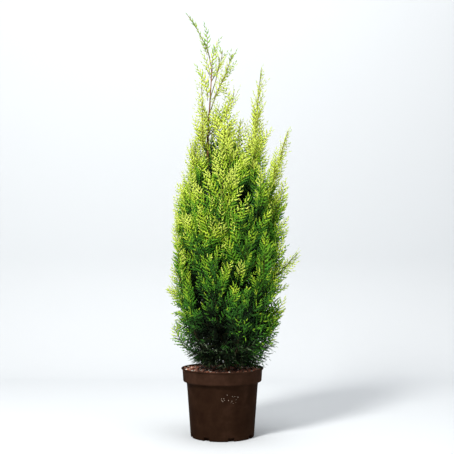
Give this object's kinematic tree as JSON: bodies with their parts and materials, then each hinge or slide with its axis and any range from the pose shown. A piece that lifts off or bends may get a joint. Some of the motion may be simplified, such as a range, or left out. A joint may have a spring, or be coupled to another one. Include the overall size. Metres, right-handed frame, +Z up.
{
  "type": "potted lawson cypress",
  "caption": "A young golden lawson cypress with several leaders and a nodding tip, in a round brown nursery pot.",
  "frame": {"origin": "centre of the pot's flat underside, on the ground", "axes": "+Z up along the plant, -Y toward the side that the picture shows, +X to the right in the picture"},
  "size_m": [0.3896, 0.3597, 1.1845],
  "materials": {
    "pot_brown": "satin",
    "soil": "matte",
    "bark": "matte",
    "foliage_dark": "matte",
    "foliage_green": "matte",
    "foliage_lime": "matte"
  },
  "bodies": {
    "root": {"pot": "pot_brown", "soil": "soil", "trunk": "bark", "bough_middle_1": "bark", "bough_middle_2": "bark", "bough_middle_3": "bark", "bough_middle_4": "bark", "bough_middle_5": "bark", "bough_middle_6": "bark", "bough_upper_1": "bark", "bough_upper_2": "bark", "bough_upper_3": "bark", "bough_upper_4": "bark", "bough_upper_5": "bark", "bough_upper_6": "bark", "bough_leader_right": "bark", "bough_leader_far_right": "bark", "foliage_skirt_1": "foliage_dark", "foliage_skirt_2": "foliage_dark", "foliage_skirt_3": "foliage_dark", "foliage_skirt_4": "foliage_dark", "foliage_skirt_5": "foliage_dark", "foliage_skirt_6": "foliage_dark", "foliage_lower_1": "foliage_green", "foliage_lower_2": "foliage_green", "foliage_lower_3": "foliage_green", "foliage_lower_4": "foliage_green", "foliage_lower_5": "foliage_green", "foliage_lower_6": "foliage_green", "foliage_middle_1": "foliage_green", "foliage_middle_2": "foliage_green", "foliage_middle_3": "foliage_green", "foliage_middle_4": "foliage_green", "foliage_middle_5": "foliage_green", "foliage_middle_6": "foliage_green", "foliage_upper_1": "foliage_lime", "foliage_upper_2": "foliage_lime", "foliage_upper_3": "foliage_lime", "foliage_upper_4": "foliage_lime", "foliage_upper_5": "foliage_lime", "foliage_upper_6": "foliage_lime", "foliage_shoulder_1": "foliage_lime", "foliage_shoulder_2": "foliage_lime", "foliage_shoulder_3": "foliage_lime", "foliage_shoulder_4": "foliage_lime", "foliage_leader_right": "foliage_lime", "foliage_leader_far_right": "foliage_lime", "foliage_leader_second": "foliage_lime", "foliage_leader_small": "foliage_lime", "foliage_stray_right": "foliage_green", "foliage_spire_1": "foliage_lime", "foliage_spire_2": "foliage_lime", "foliage_spire_3": "foliage_lime", "foliage_spire_4": "foliage_lime", "foliage_spire_5": "foliage_lime", "foliage_spire_6": "foliage_lime", "foliage_spire_7": "foliage_lime", "foliage_spire_8": "foliage_lime", "foliage_spire_tip": "foliage_lime"}
  },
  "joints": []
}
